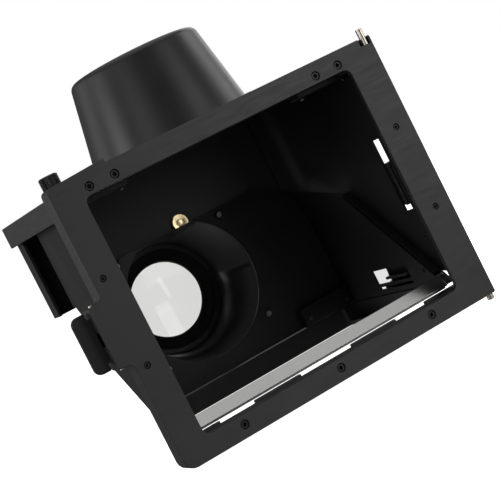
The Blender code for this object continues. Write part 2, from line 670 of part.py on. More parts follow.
def mirror_adjuster():
    """Brass screw through the back panel, its head inside and a slotted nut outside."""
    face = 82.65 * MM
    seat = PANEL_REAR - PANEL_THICK - GAP
    profile = [(0, 2.0 * MM), (1.2 * MM, 2.0 * MM), (1.2 * MM, 0), (ADJUSTER_RADIUS - 0.4 * MM, 0)]
    profile += [(ADJUSTER_RADIUS, 0.4 * MM), (ADJUSTER_RADIUS, seat - face)]
    profile += [(2.0 * MM, seat - face), (2.0 * MM, 89.0 * MM - face), (0, 89.0 * MM - face)]
    screw = turned("mirror_adjuster", [(r, -z) for r, z in profile], (ADJUSTER_X, face, ADJUSTER_Z), BRASS, 24,
                   closed=False)
    screw.rotation_euler = (math.radians(90), 0, 0)
    nut = turned("adjuster_locknut", [(4.2 * MM, 0), (4.2 * MM, -2.2 * MM), (2.7 * MM, -2.2 * MM), (2.7 * MM, 0)],
                 (ADJUSTER_X, PANEL_REAR + GAP, ADJUSTER_Z), BRASS, 6)
    nut.rotation_euler = (math.radians(90), 0, 0)
    return screw


# ---------------------------------------------------------------- eyepiece

def eyepiece_screw_places():
    return [(sx * EYE_SCREW_X, EYE_Y + sy * EYE_SCREW_Y) for sx in (-1, 1) for sy in (-1, 1)]


def eyepiece_cone():
    rim = arc(EYE_RIM_CENTRE, EYE_RIM_Z, EYE_RIM_RADIUS, 90, 12, 6)
    profile = [(EYE_SHELF_RADIUS + 1.1 * MM, CELL_TOP - 0.2 * MM)]
    profile += rim
    profile += [(EYE_BASE_RADIUS, EYE_FLANGE_TOP + 1.2 * MM), (EYE_BASE_RADIUS + 0.1 * MM, EYE_FLANGE_TOP)]
    profile += [(EYE_FLANGE_RADIUS - 0.5 * MM, EYE_FLANGE_TOP), (EYE_FLANGE_RADIUS, EYE_FLANGE_TOP - 0.5 * MM)]
    profile += [(EYE_FLANGE_RADIUS, EYE_BASE), (EYE_HOLE_RADIUS, EYE_BASE)]
    profile += [(EYE_THROAT_RADIUS, EYE_SHELF_BOTTOM), (EYE_SHELF_RADIUS, EYE_SHELF_BOTTOM)]
    profile += [(EYE_SHELF_RADIUS, EYE_SHELF_TOP), (CELL_RADIUS + GAP, EYE_SHELF_TOP)]
    cone = turned("eyepiece_cone", profile, (0, EYE_Y, 0), CONE_BLACK, 56)
    spans = [((x, y, 50 * MM), (x, y, 65 * MM)) for x, y in eyepiece_screw_places()]
    boolean(cone, rods("cut_flange_screws", spans, 1.5 * MM + GAP, None, CUTTERS, 12))
    return cone


def eyepiece_optics():
    aperture = LENS_APERTURE
    cell = [(aperture + 1.4 * MM, CELL_TOP), (CELL_RADIUS - 0.3 * MM, CELL_TOP), (CELL_RADIUS, CELL_TOP - 0.3 * MM),
            (CELL_RADIUS, EYE_SHELF_TOP + GAP), (EYE_SHELF_RADIUS - GAP, EYE_SHELF_TOP + GAP),
            (EYE_SHELF_RADIUS - GAP, CELL_BOTTOM), (LENS_RADIUS + GAP, CELL_BOTTOM),
            (LENS_RADIUS + GAP, LENS_TOP + GAP), (aperture, LENS_TOP + GAP)]
    turned("lens_cell", cell, (0, EYE_Y, 0), PAINTED, 48)
    bulge = []
    curve = (LENS_RADIUS ** 2 + LENS_SAG ** 2) / (2 * LENS_SAG)
    steps = 5
    for i in range(steps + 1):
        r = LENS_RADIUS * (1 - i / steps)
        depth = math.sqrt(curve ** 2 - r ** 2) - (curve - LENS_SAG)
        bulge.append((r, LENS_EDGE - depth))
    turned("eyepiece_lens", [(0, LENS_TOP), (LENS_RADIUS, LENS_TOP)] + bulge, (0, EYE_Y, 0), GLASS, 40, closed=False)
    ring = [(LENS_RADIUS, 94.85 * MM), (LENS_RADIUS, 94.2 * MM), (19.0 * MM, 94.2 * MM), (19.0 * MM, 94.5 * MM),
            (19.4 * MM, 94.85 * MM)]
    turned("lens_retainer", ring, (0, EYE_Y, 0), PAINTED, 40)


def flange_screws():
    """Four screws through the eyepiece flange and the cover."""
    for number, (x, y) in enumerate(eyepiece_screw_places(), 1):
        top = EYE_FLANGE_TOP + GAP + 1.4 * MM
        socket_screw(f"eyepiece_screw_{number}", 1.9 * MM, top - 54.0 * MM, (x, y, top), UPRIGHT,
                     shank=1.5 * MM)


# ---------------------------------------------------------------- moving pieces

def coil(name, centre, radius, wire, low, high, turns, material):
    """A spring along Z: its points are computed on a helix."""
    per_turn = 8
    curve = bpy.data.curves.new(name, "CURVE")
    curve.dimensions = "3D"
    curve.bevel_depth = wire
    curve.bevel_resolution = 1
    curve.use_fill_caps = True
    spline = curve.splines.new("POLY")
    count = turns * per_turn + 1
    spline.points.add(count - 1)
    for i, point in enumerate(spline.points):
        angle = 2 * math.pi * i / per_turn
        z = low + wire + (high - low - 2 * wire) * i / (count - 1)
        point.co = (centre[0] + radius * math.cos(angle), centre[1] + radius * math.sin(angle), z, 1.0)
    obj = bpy.data.objects.new(name, curve)
    PARTS.objects.link(obj)
    return curve_to_mesh(obj, material, None)


def hinge_pins():
    """A fixed upper pin, and a sprung lower one that a thumb slider draws up out of its hole."""
    upper = rods("hinge_pin_upper", [((PIN_X, PIN_Y, UPPER_PIN_FOOT), (PIN_X, PIN_Y, PIN_TOP))], PIN_RADIUS,
                 NICKEL, None, 20)
    bevel(upper, 0.3 * MM, 1)
    lower = rods("hinge_pin_lower", [((PIN_X, PIN_Y, PIN_BOTTOM), (PIN_X, PIN_Y, ARM_HIGH - 0.5 * MM))],
                 PIN_RADIUS, NICKEL, None, 20)
    bevel(lower, 0.3 * MM, 1)
    slider = box("pin_slider", (SLIDER_LEFT, PIN_Y, ARM_LOW), (SLIDER_RIGHT, 13.8 * MM, ARM_HIGH), ANODISED)
    joins = (
        ("join_slider_plate", (THUMB_LEFT, 11.1 * MM, ARM_LOW + 0.01 * MM), (78.1 * MM, 13.7 * MM, ARM_HIGH - 0.01 * MM)),
        ("join_slider_thumb", (THUMB_LEFT + 0.01 * MM, 13.0 * MM, THUMB_LOW), (78.0 * MM, 19.4 * MM, THUMB_HIGH)),
        ("join_slider_shutter", (THUMB_LEFT + 0.02 * MM, 14.0 * MM, THUMB_LOW + 0.01 * MM),
         (THUMB_LEFT + 1.4 * MM, 23.8 * MM, THUMB_HIGH - 0.01 * MM)),
        ("join_slider_tongue", (68.9 * MM, 16.2 * MM, THUMB_LOW + 0.02 * MM), (72.0 * MM, 17.5 * MM, THUMB_HIGH - 0.02 * MM)),
    )
    for title, low, high in joins:
        boolean(slider, box(title, low, high, None, CUTTERS), "UNION")
    hole = rods("cut_slider_pin", [((PIN_X, PIN_Y, ARM_LOW - MM), (PIN_X, PIN_Y, ARM_HIGH + MM))],
                PIN_RADIUS + GAP / 2, None, CUTTERS, 20)
    boolean(slider, hole)
    coil("pin_spring", (PIN_X, PIN_Y), SPRING_RADIUS, SPRING_WIRE, ARM_HIGH + GAP, SPRING_TOP, 8, NICKEL)


def latch():
    """Thumb lever on a steel pin, with a torsion spring on its barrel."""
    reach = LATCH_HALF_HEIGHT
    outline = [(LATCH_X, -9.2 * MM), (LATCH_X, 9.2 * MM), (-83.2 * MM, 9.2 * MM), (-83.2 * MM, reach)]
    outline += arc(LATCH_TIP + 3.0 * MM, reach - 3.0 * MM, 3.0 * MM, 90, 180, 5)
    outline += arc(LATCH_TIP + 3.0 * MM, -reach + 3.0 * MM, 3.0 * MM, 180, 270, 5)
    outline += [(-83.2 * MM, -reach), (-83.2 * MM, -9.2 * MM)]
    outline = [(x - LATCH_X, z) for x, z in outline]
    lever = plate("latch_lever", [outline], 2.2 * MM, FACING_FRONT, PAINTED)
    lever.location = (LATCH_X, LATCH_Y + 1.0 * MM, 0)
    spans = [((LATCH_X, LATCH_Y, -9.2 * MM), (LATCH_X, LATCH_Y, -3.0 * MM)),
             ((LATCH_X, LATCH_Y, 3.0 * MM), (LATCH_X, LATCH_Y, 9.2 * MM))]
    boolean(lever, rods("join_latch_barrel", spans, 2.2 * MM, None, CUTTERS, 20), "UNION")
    boolean(lever, rods("cut_latch_pin", [((LATCH_X, LATCH_Y, -20 * MM), (LATCH_X, LATCH_Y, 20 * MM))],
                        1.0 * MM + GAP, None, CUTTERS, 12))
    boolean(lever, box("cut_latch_spring", (LATCH_X - 2.6 * MM, 0, -2.9 * MM), (-70 * MM, 20 * MM, 2.9 * MM),
                       None, CUTTERS))
    rods("latch_pin", [((LATCH_X, LATCH_Y, -LATCH_PIN_HALF), (LATCH_X, LATCH_Y, LATCH_PIN_HALF))], 1.0 * MM,
         NICKEL, None, 16)
    coil("latch_spring", (LATCH_X, LATCH_Y), 1.75 * MM, 0.25 * MM, -2.6 * MM, 2.6 * MM, 4, NICKEL)
    return lever


def lock_knob():
    """Knurled thumb screw in a round boss on the cover."""
    boss = [(1.8 * MM, 2.3 * MM), (3.6 * MM, 2.3 * MM), (4.6 * MM, 1.5 * MM), (5.0 * MM, 0), (1.8 * MM, 0)]
    turned("knob_boss", boss, (KNOB_X, KNOB_Y, COVER_TOP + GAP), ANODISED, 32)
    teeth = 24
    outline = []
    for i in range(teeth):
        for step, radius in ((0.0, KNOB_RADIUS), (0.5, KNOB_RADIUS - 0.35 * MM)):
            angle = 2 * math.pi * (i + step) / teeth
            outline.append((radius * math.cos(angle), radius * math.sin(angle)))
    bottom, top = COVER_TOP + GAP + 2.6 * MM, 65.4 * MM
    knob = plate("lock_knob", [outline], top - bottom, Matrix.Translation((KNOB_X, KNOB_Y, (top + bottom) / 2)),
                 SCREW_BLACK)
    stud = rods("join_knob_stud", [((KNOB_X, KNOB_Y, COVER_BOTTOM + 0.1 * MM), (KNOB_X, KNOB_Y, 62.0 * MM))], 1.5 * MM,
                None, CUTTERS, 12)
    boolean(knob, stud, "UNION")
    return knob


front_frame()
frame_screws()
side_wall("side_wall_left", -1)
side_wall("side_wall_right", 1)
top_cover()
back_panel()
corner_block("corner_block_left", -1)
corner_block("corner_block_right", 1)
block_screws()
lower_rail()
corner_web("corner_web_left", -1)
mirror_group()
mirror_adjuster()
eyepiece_cone()
eyepiece_optics()
flange_screws()
hinge_pins()
latch()
lock_knob()
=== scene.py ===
import json
import math

import bmesh
import bpy
from mathutils import Matrix, Vector, noise

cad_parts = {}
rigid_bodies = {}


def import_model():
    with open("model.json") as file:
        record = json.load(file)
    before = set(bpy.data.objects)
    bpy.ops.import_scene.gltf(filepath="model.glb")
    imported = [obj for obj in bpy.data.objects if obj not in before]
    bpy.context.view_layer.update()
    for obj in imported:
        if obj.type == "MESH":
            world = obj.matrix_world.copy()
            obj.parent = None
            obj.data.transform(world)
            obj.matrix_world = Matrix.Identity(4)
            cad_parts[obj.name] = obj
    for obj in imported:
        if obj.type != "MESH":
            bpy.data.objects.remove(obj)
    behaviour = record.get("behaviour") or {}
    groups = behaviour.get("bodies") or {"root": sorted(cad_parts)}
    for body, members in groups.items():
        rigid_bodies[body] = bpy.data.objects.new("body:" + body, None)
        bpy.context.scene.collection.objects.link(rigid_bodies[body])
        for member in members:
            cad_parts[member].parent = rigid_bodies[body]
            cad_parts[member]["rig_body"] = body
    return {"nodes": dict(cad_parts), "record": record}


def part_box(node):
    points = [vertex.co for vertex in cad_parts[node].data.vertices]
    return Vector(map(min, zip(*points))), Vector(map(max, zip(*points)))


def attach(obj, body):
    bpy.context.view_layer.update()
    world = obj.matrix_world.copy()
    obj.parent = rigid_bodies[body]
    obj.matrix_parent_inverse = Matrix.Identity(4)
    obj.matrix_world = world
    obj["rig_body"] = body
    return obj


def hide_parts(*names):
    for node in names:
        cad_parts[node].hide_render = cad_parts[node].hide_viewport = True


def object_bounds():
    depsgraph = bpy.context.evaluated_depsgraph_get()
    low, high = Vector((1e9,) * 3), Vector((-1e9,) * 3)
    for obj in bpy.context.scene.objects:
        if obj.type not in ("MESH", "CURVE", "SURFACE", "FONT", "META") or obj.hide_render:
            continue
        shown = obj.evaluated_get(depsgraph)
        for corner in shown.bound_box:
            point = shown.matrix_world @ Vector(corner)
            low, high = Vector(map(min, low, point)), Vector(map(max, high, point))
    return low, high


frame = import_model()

MM = 0.001
CAD_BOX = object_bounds()
MERGE = 1e-6                        # points closer than this become one
FLAT_ANGLE = math.radians(0.6)      # faces closer than this to one plane become one flat
NOISE_LOW, NOISE_HIGH = 0.3, 0.7    # nearly all of a noise's values lie between these
NODES = frame["nodes"]
SLOT_OF = {entry["node"]: entry["material_slot"] for entry in frame["record"]["subparts"]}


# ---------------------------------------------------------------- materials

def grey(value):
    return (value, value, value)


class Shader:
    """A Principled material with short helpers for its nodes."""

    def __init__(self, name, colour, roughness, metallic=0.0, specular=0.5):
        self.material = bpy.data.materials.new(name)
        self.material.use_nodes = True
        self.material.diffuse_color = (*colour, 1.0)
        self.nodes = self.material.node_tree.nodes
        self.links = self.material.node_tree.links
        self.surface = self.nodes["Principled BSDF"]
        self.set("Base Color", (*colour, 1.0))
        self.set("Roughness", roughness)
        self.set("Metallic", metallic)
        self.set("Specular IOR Level", specular)
        self.place = self.nodes.new("ShaderNodeTexCoord").outputs["Object"]

    def set(self, socket, value):
        self.surface.inputs[socket].default_value = value

    def stretch(self, scale):
        """Object coordinates scaled unevenly, for noise that runs one way."""
        mapping = self.nodes.new("ShaderNodeMapping")
        mapping.inputs["Scale"].default_value = scale
        self.links.new(self.place, mapping.inputs["Vector"])
        return mapping.outputs["Vector"]

    def noise(self, scale, detail=4.0, rough=0.55, vector=None):
        node = self.nodes.new("ShaderNodeTexNoise")
        node.inputs["Scale"].default_value = scale
        node.inputs["Detail"].default_value = detail
        node.inputs["Roughness"].default_value = rough
        self.links.new(vector or self.place, node.inputs["Vector"])
        return node.outputs["Fac"]

    def cells(self, scale):
        node = self.nodes.new("ShaderNodeTexVoronoi")
        node.inputs["Scale"].default_value = scale
        self.links.new(self.place, node.inputs["Vector"])
        return node.outputs["Distance"]

    def ramp(self, source, dark, light, low=NOISE_LOW, high=NOISE_HIGH):
        """One colour where source is low, grading into the other where it is high."""
        node = self.nodes.new("ShaderNodeValToRGB")
        first, last = node.color_ramp.elements
        first.position, last.position = low, high
        first.color, last.color = (*dark, 1.0), (*light, 1.0)
        self.links.new(source, node.inputs["Fac"])
        return node.outputs["Color"]

    def span(self, source, low, high):
        """Maps a noise's usual values onto low to high."""
        node = self.nodes.new("ShaderNodeMapRange")
        node.inputs["From Min"].default_value = NOISE_LOW
        node.inputs["From Max"].default_value = NOISE_HIGH
        node.inputs["To Min"].default_value = low
        node.inputs["To Max"].default_value = high
        self.links.new(source, node.inputs["Value"])
        return node.outputs["Result"]

    def add(self, first, second, share):
        """The first value plus a share of the second."""
        node = self.nodes.new("ShaderNodeMath")
        node.operation = "MULTIPLY_ADD"
        self.links.new(second, node.inputs[0])
        node.inputs[1].default_value = share
        self.links.new(first, node.inputs[2])
        return node.outputs["Value"]

    def colour(self, source):
        self.links.new(source, self.surface.inputs["Base Color"])

    def roughness(self, source):
        self.links.new(source, self.surface.inputs["Roughness"])

    def bump(self, height, strength, distance):
        node = self.nodes.new("ShaderNodeBump")
        node.inputs["Strength"].default_value = strength
        node.inputs["Distance"].default_value = distance
        self.links.new(height, node.inputs["Height"])
        self.links.new(node.outputs["Normal"], self.surface.inputs["Normal"])


def anodised():
    """The frame and cover: blasted, black anodised, with faint upright rub marks."""
    s = Shader("black_anodised_blasted", (0.02, 0.02, 0.021), 0.42, 0.0, 0.55)
    grain = s.noise(2600.0, 3.0, 0.6)
    cloud = s.noise(28.0, 5.0, 0.5)
    mottle = s.add(grain, cloud, 0.6)
    s.colour(s.ramp(mottle, (0.015, 0.015, 0.0155), (0.025, 0.025, 0.026), 0.55, 1.0))
    rub = s.noise(60.0, 6.0, 0.7, s.stretch((1.0, 1.0, 9.0)))
    s.roughness(s.span(s.add(rub, grain, 0.2), 0.36, 0.50))
    s.bump(grain, 0.10, 0.04 * MM)
    return s.material


def matt_paint():
    s = Shader("matt_black_paint", grey(0.02), 0.62, 0.0, 0.35)
    grain = s.noise(1500.0, 4.0, 0.6)
    peel = s.noise(420.0, 2.0, 0.5)
    patch = s.noise(35.0, 4.0, 0.55)
    s.colour(s.ramp(patch, grey(0.015), (0.024, 0.024, 0.0235)))
    s.roughness(s.span(s.add(patch, grain, 0.3), 0.55, 0.70))
    s.bump(s.add(peel, grain, 0.5), 0.16, 0.06 * MM)
    return s.material


def interior_painted_shade():
    """The hood's inside: a little glossier than the matt paint, and darker than it as painted
    shade for the hood's dim inside.
    """
    s = Shader("interior_black_paint_painted_shade", grey(0.012), 0.55, 0.0, 0.40)
    grain = s.noise(1700.0, 4.0, 0.6)
    patch = s.noise(26.0, 4.0, 0.55)
    s.colour(s.ramp(patch, grey(0.009), (0.014, 0.014, 0.0135)))
    s.roughness(s.span(s.add(patch, grain, 0.3), 0.48, 0.62))
    s.bump(grain, 0.14, 0.05 * MM)
    return s.material


def moulding():
    s = Shader("satin_black_moulding", (0.015, 0.015, 0.016), 0.36, 0.0, 0.5)
    grain = s.noise(1900.0, 3.0, 0.5)
    drift = s.noise(20.0, 3.0, 0.5)
    s.colour(s.ramp(drift, (0.012, 0.012, 0.0125), (0.018, 0.018, 0.019)))
    s.roughness(s.span(s.add(drift, grain, 0.25), 0.31, 0.42))
    s.bump(grain, 0.08, 0.04 * MM)
    return s.material


def bore_moulding_painted_light():
    """The eyepiece's bore: the same moulding, softer than its outside, and lighter as painted
    light for the highlight the lens throws on it.
    """
    s = Shader("eyepiece_bore_painted_light", grey(0.042), 0.46, 0.0, 0.8)
    grain = s.noise(1500.0, 3.0, 0.5)
    drift = s.noise(16.0, 3.0, 0.5)
    s.colour(s.ramp(drift, grey(0.038), grey(0.047)))
    s.roughness(s.span(s.add(drift, grain, 0.25), 0.43, 0.52))
    s.bump(grain, 0.06, 0.04 * MM)
    return s.material


def black_oxide():
    s = Shader("black_oxide_steel", (0.012, 0.012, 0.013), 0.38, 0.4, 0.5)
    wear = s.noise(900.0, 5.0, 0.65)
    s.colour(s.ramp(wear, (0.008, 0.008, 0.009), (0.05, 0.048, 0.046), 0.45, 0.75))
    s.roughness(s.span(wear, 0.30, 0.48))
    s.bump(wear, 0.15, 0.03 * MM)
    return s.material


def plated(name, dark, light, rough_low, rough_high):
    """Turned bright metal: fine rings along the axis, some handling marks."""
    s = Shader(name, light, rough_low, 1.0)
    rings = s.noise(1100.0, 2.0, 0.4, s.stretch((0.15, 0.15, 5.0)))
    marks = s.noise(260.0, 5.0, 0.6)
    s.colour(s.ramp(s.add(marks, rings, 0.4), dark, light, 0.5, 0.85))
    s.roughness(s.span(s.add(marks, rings, 0.3), rough_low, rough_high))
    s.bump(rings, 0.12, 0.03 * MM)
    return s.material


def brushed():
    """The strip along the mirror's foot, brushed along its length."""
    s = Shader("brushed_aluminium", (0.46, 0.46, 0.45), 0.2, 1.0)
    lines = s.noise(900.0, 3.0, 0.5, s.stretch((0.04, 1.0, 1.0)))
    marks = s.noise(45.0, 4.0, 0.6)
    worn = s.add(marks, lines, 0.3)
    s.colour(s.ramp(worn, (0.43, 0.43, 0.42), (0.48, 0.48, 0.47), 0.4, 0.9))
    s.roughness(s.span(worn, 0.16, 0.24))
    s.bump(lines, 0.06, 0.02 * MM)
    return s.material


def silvered():
    """A mirror with a thin uneven film and a few specks of dust."""
    s = Shader("silvered_mirror", (0.88, 0.885, 0.88), 0.0, 1.0)
    dust = s.cells(520.0)
    film = s.noise(14.0, 5.0, 0.6)
    s.colour(s.ramp(film, (0.84, 0.845, 0.84), (0.89, 0.895, 0.89), 0.2, 0.8))
    s.roughness(s.ramp(dust, grey(0.10), grey(0.0), 0.0, 0.045))
    return s.material


def lens_glass():
    s = Shader("lens_glass", (0.97, 0.965, 0.95), 0.0)
    s.set("Transmission Weight", 1.0)
    s.set("IOR", 1.5)
    smear = s.noise(60.0, 5.0, 0.6)
    s.roughness(s.ramp(smear, grey(0.0), grey(0.02), 0.5, 0.9))
    return s.material


def foam():
    s = Shader("seal_foam", grey(0.010), 0.95, 0.0, 0.15)
    cell = s.cells(1600.0)
    s.colour(s.ramp(cell, grey(0.004), grey(0.013), 0.1, 0.7))
    s.bump(cell, 0.8, 0.2 * MM)
    return s.material


ANODISED = anodised()
PAINT = matt_paint()
INSIDE_PAINTED_SHADE = interior_painted_shade()
MOULDING = moulding()
BORE_PAINTED_LIGHT = bore_moulding_painted_light()
OXIDE = black_oxide()
NICKEL = plated("bright_nickel", (0.42, 0.39, 0.34), (0.80, 0.76, 0.68), 0.16, 0.30)
STEEL = plated("screw_steel", (0.30, 0.30, 0.29), (0.62, 0.61, 0.58), 0.25, 0.38)
DULL_STEEL = plated("dull_screw_steel", (0.05, 0.05, 0.05), (0.14, 0.138, 0.132), 0.35, 0.5)
ALUMINIUM = brushed()
BRASS = plated("turned_brass", (0.62, 0.43, 0.20), (0.93, 0.76, 0.46), 0.16, 0.30)
SILVER = silvered()
LENS = lens_glass()
FOAM = foam()
FINISH = {
    "black_anodised": ANODISED,
    "matt_black_paint": PAINT,
    "satin_black_moulding": MOULDING,
    "black_oxide": OXIDE,
    "nickel": NICKEL,
    "aluminium": ALUMINIUM,
    "brass": BRASS,
    "mirror_silver": SILVER,
    "lens_glass": LENS,
    "seal_foam": FOAM,
}


# ---------------------------------------------------------------- pieces

def settle(piece, node):
    """Puts a finished piece in its CAD node's place."""
    slot = SLOT_OF[node]
    if not piece.data.materials:
        piece.data.materials.append(FINISH[slot])
    bpy.context.scene.collection.objects.link(piece)
    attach(piece, NODES[node]["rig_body"])
    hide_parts(node)
    return piece


def mesh_piece(name, bm):
    mesh = bpy.data.meshes.new(name)
    bm.to_mesh(mesh)
    bm.free()
    return bpy.data.objects.new(name, mesh)


def soften(piece, width=0.0, segments=2, angle=32.0):
    """Smooth shading, sharp or rounded where faces meet at more than angle degrees."""
    piece.data.shade_smooth()
    piece.data.set_sharp_from_angle(angle=math.radians(angle))
    if width:
        edge = piece.modifiers.new("rounded edges", "BEVEL")
        edge.width = width
        edge.segments = segments
        edge.limit_method = "ANGLE"
        edge.angle_limit = math.radians(angle)
        edge.use_clamp_overlap = False
        edge.harden_normals = True
    else:
        even = piece.modifiers.new("even shading", "WEIGHTED_NORMAL")
        even.keep_sharp = True
    return piece


def cad_shape(node, flatten=True):
    """The CAD node's mesh with its points merged and, if flatten, each flat made one face."""
    bm = bmesh.new()
    bm.from_mesh(NODES[node].data)
    bmesh.ops.remove_doubles(bm, verts=bm.verts, dist=MERGE)
    if flatten:
        bmesh.ops.dissolve_limit(bm, angle_limit=FLAT_ANGLE, verts=bm.verts, edges=bm.edges)
    return bm


def refine(node, width, material=None, angle=32.0, flatten=True):
    """A piece of the CAD node's own shape, with rounded edges and smooth curves."""
    bm = cad_shape(node, flatten)
    bmesh.ops.recalc_face_normals(bm, faces=bm.faces)
    piece = mesh_piece(node + "_finished", bm)
    piece.data.materials.clear()
    piece.data.materials.append(material or FINISH[SLOT_OF[node]])
    return settle(soften(piece, width, angle=angle), node)


def ring(bm, radius, height, count, sides=None):
    """A closed ring of points. With sides, it is a polygon across whose flats is twice radius."""
    points = []
    for i in range(count):
        angle = 2 * math.pi * i / count
        r = radius
        if sides:
            step = 2 * math.pi / sides
            r = radius / math.cos((angle % step) - step / 2)
        points.append(bm.verts.new((r * math.cos(angle), r * math.sin(angle), height)))
    return points


def skin(bm, rings):
    """Faces from each ring to the next."""
    count = len(rings[0])
    for first, second in zip(rings, rings[1:]):
        for i in range(count):
            j = (i + 1) % count
            bm.faces.new((first[i], first[j], second[j], second[i]))


def closed_skin(bm, rings):
    skin(bm, rings)
    bm.faces.new(rings[0])
    bm.faces.new(list(reversed(rings[-1])))
    bmesh.ops.recalc_face_normals(bm, faces=bm.faces)


def stand(bm, place, direction):
    """Moves a shape made along Z at the origin, to place and along direction."""
    turn = direction.to_track_quat("Z", "Y").to_matrix().to_4x4()
    bm.transform(Matrix.Translation(place) @ turn)


def socket_screw(node, up, material=None):
    """A socket screw: chamfered head, hexagonal recess with a drilled floor. Its head faces up."""
    low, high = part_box(node)
    up = Vector(up)
    axis = max(range(3), key=lambda i: abs(up[i]))
    centre = (low + high) / 2
    length = high[axis] - low[axis]
    radius = max(high[i] - low[i] for i in range(3) if i != axis) / 2
    stepped = node.startswith("eyepiece")       # only these have a shank thinner than the head
    shank = 1.5 * MM if stepped else radius
    head = min(1.7 * MM, length * 0.6)
    recess = min(radius * 0.9, length * 0.7)
    drilled = recess + 0.15 * radius
    hexagon = 0.46 * radius
    rim = 0.56 * radius
    rim_depth = 0.08 * radius
    chamfer = 0.12 * radius
    tip_chamfer = 0.3 * MM
    count = 36
    bm = bmesh.new()
    rings = [
        ring(bm, hexagon, -recess, count, 6),
        ring(bm, hexagon, -rim_depth, count, 6),
        ring(bm, rim, 0.0, count),
        ring(bm, radius - chamfer, 0.0, count),
        ring(bm, radius, -chamfer, count),
        ring(bm, radius, -head, count),
        ring(bm, shank, -head - 0.01 * MM, count),
        ring(bm, shank, -length + tip_chamfer, count),
        ring(bm, shank - tip_chamfer, -length, count),
    ]
    skin(bm, rings)
    floor = bm.verts.new((0, 0, -drilled))
    foot = bm.verts.new((0, 0, -length))
    for i in range(count):
        j = (i + 1) % count
        bm.faces.new((rings[0][j], rings[0][i], floor))
        bm.faces.new((rings[-1][i], rings[-1][j], foot))
    bmesh.ops.recalc_face_normals(bm, faces=bm.faces)
    if stepped:
        for face in bm.faces:
            if face.calc_center_median().z < -head - 0.5 * MM:
                face.material_index = 1
    stand(bm, centre + up * length / 2, up)
    piece = mesh_piece(node + "_finished", bm)
    piece.data.materials.append(material or FINISH[SLOT_OF[node]])
    if stepped:
        piece.data.materials.append(STEEL)
    return settle(soften(piece), node)


def coil(node, turns, wire):
    """A spring of round wire, wound along Z in its CAD node's box, with flatter end turns."""
    low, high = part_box(node)
    centre = (low + high) / 2
    radius = (high.x - low.x) / 2 - wire
    curve = bpy.data.curves.new(node + "_finished", "CURVE")
    curve.dimensions = "3D"
    curve.bevel_depth = wire
    curve.bevel_resolution = 3
    curve.use_fill_caps = True
    spline = curve.splines.new("POLY")
    per_turn = 28
    count = turns * per_turn + 1
    spline.points.add(count - 1)
    bottom, top = low.z + wire, high.z - wire
    sway = 0.175 / turns
    for i, point in enumerate(spline.points):
        share = i / (count - 1)
        eased = share - sway * math.sin(4 * math.pi * share)
        angle = 2 * math.pi * i / per_turn
        x = centre.x + radius * math.cos(angle)
        y = centre.y + radius * math.sin(angle)
        z = bottom + (top - bottom) * min(1.0, max(0.0, eased))
        point.co = (x, y, z, 1.0)
    return settle(bpy.data.objects.new(node + "_finished", curve), node)


def foam_strip(node):
    """A foam strip with a slightly uneven, rounded surface."""
    waviness = 0.12 * MM
    waves_per_metre = 260
    bm = cad_shape(node)
    long_edges = [edge for edge in bm.edges if edge.calc_length() > 20 * MM]
    bmesh.ops.subdivide_edges(bm, edges=long_edges, cuts=60, use_grid_fill=True)
    out = Vector((0, -1, 1)).normalized()
    bm.normal_update()
    for vert in bm.verts:
        if vert.normal.dot(out) > 0.3:
            vert.co += out * waviness * noise.noise(vert.co * waves_per_metre)
    piece = mesh_piece(node + "_finished", bm)
    return settle(soften(piece, 0.35 * MM, 3, 40.0), node)


def knurled_knob(node):
    """Thumb screw: straight knurl, chamfered shoulders and a dished top, on its stud."""
    low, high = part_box(node)
    centre = (low + high) / 2
    radius = (high.x - low.x) / 2
    top = high.z
    grip = 5.7 * MM
    shoulder = 0.45 * MM
    tooth_depth = 0.32 * MM
    stud = 1.5 * MM
    stud_chamfer = 0.3 * MM
    teeth, per_tooth = 32, 6
    count = teeth * per_tooth
    bm = bmesh.new()

    def knurl(height):
        points = []
        for i in range(count):
            phase = (i % per_tooth) / per_tooth
            r = radius - tooth_depth * abs(2 * phase - 1)
            angle = 2 * math.pi * i / count
            points.append(bm.verts.new((r * math.cos(angle), r * math.sin(angle), height)))
        return points

    closed_skin(bm, [
        ring(bm, radius * 0.30, top - 0.55 * MM, count),
        ring(bm, radius * 0.62, top - 0.45 * MM, count),
        ring(bm, radius * 0.70, top - 0.02 * MM, count),
        ring(bm, radius * 0.82, top, count),
        knurl(top - shoulder),
        knurl(top - grip + shoulder),
        ring(bm, radius * 0.84, top - grip, count),
        ring(bm, stud, top - grip, count),
        ring(bm, stud, low.z + stud_chamfer, count),
        ring(bm, stud - stud_chamfer, low.z, count),
    ])
    bm.transform(Matrix.Translation((centre.x, centre.y, 0)))
    piece = mesh_piece(node + "_finished", bm)
    return settle(soften(piece, angle=28.0), node)


def eyepiece():
    """The eyepiece cone as its CAD mesh, with its bore in its own softer moulding, lightened as
    painted light.
    """
    piece = refine("eyepiece_cone", 0.0, angle=40.0)
    low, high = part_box("eyepiece_cone")
    centre = (low + high) / 2
    # The bore's material is lighter than the outside moulding: painted light for the lens's
    # highlight.
    piece.data.materials.append(BORE_PAINTED_LIGHT)
    for face in piece.data.polygons:
        out = Vector((face.center.x - centre.x, face.center.y - centre.y, 0))
        if face.normal.dot(out) < 0 and abs(face.normal.z) < 0.6:
            face.material_index = 1
    return piece


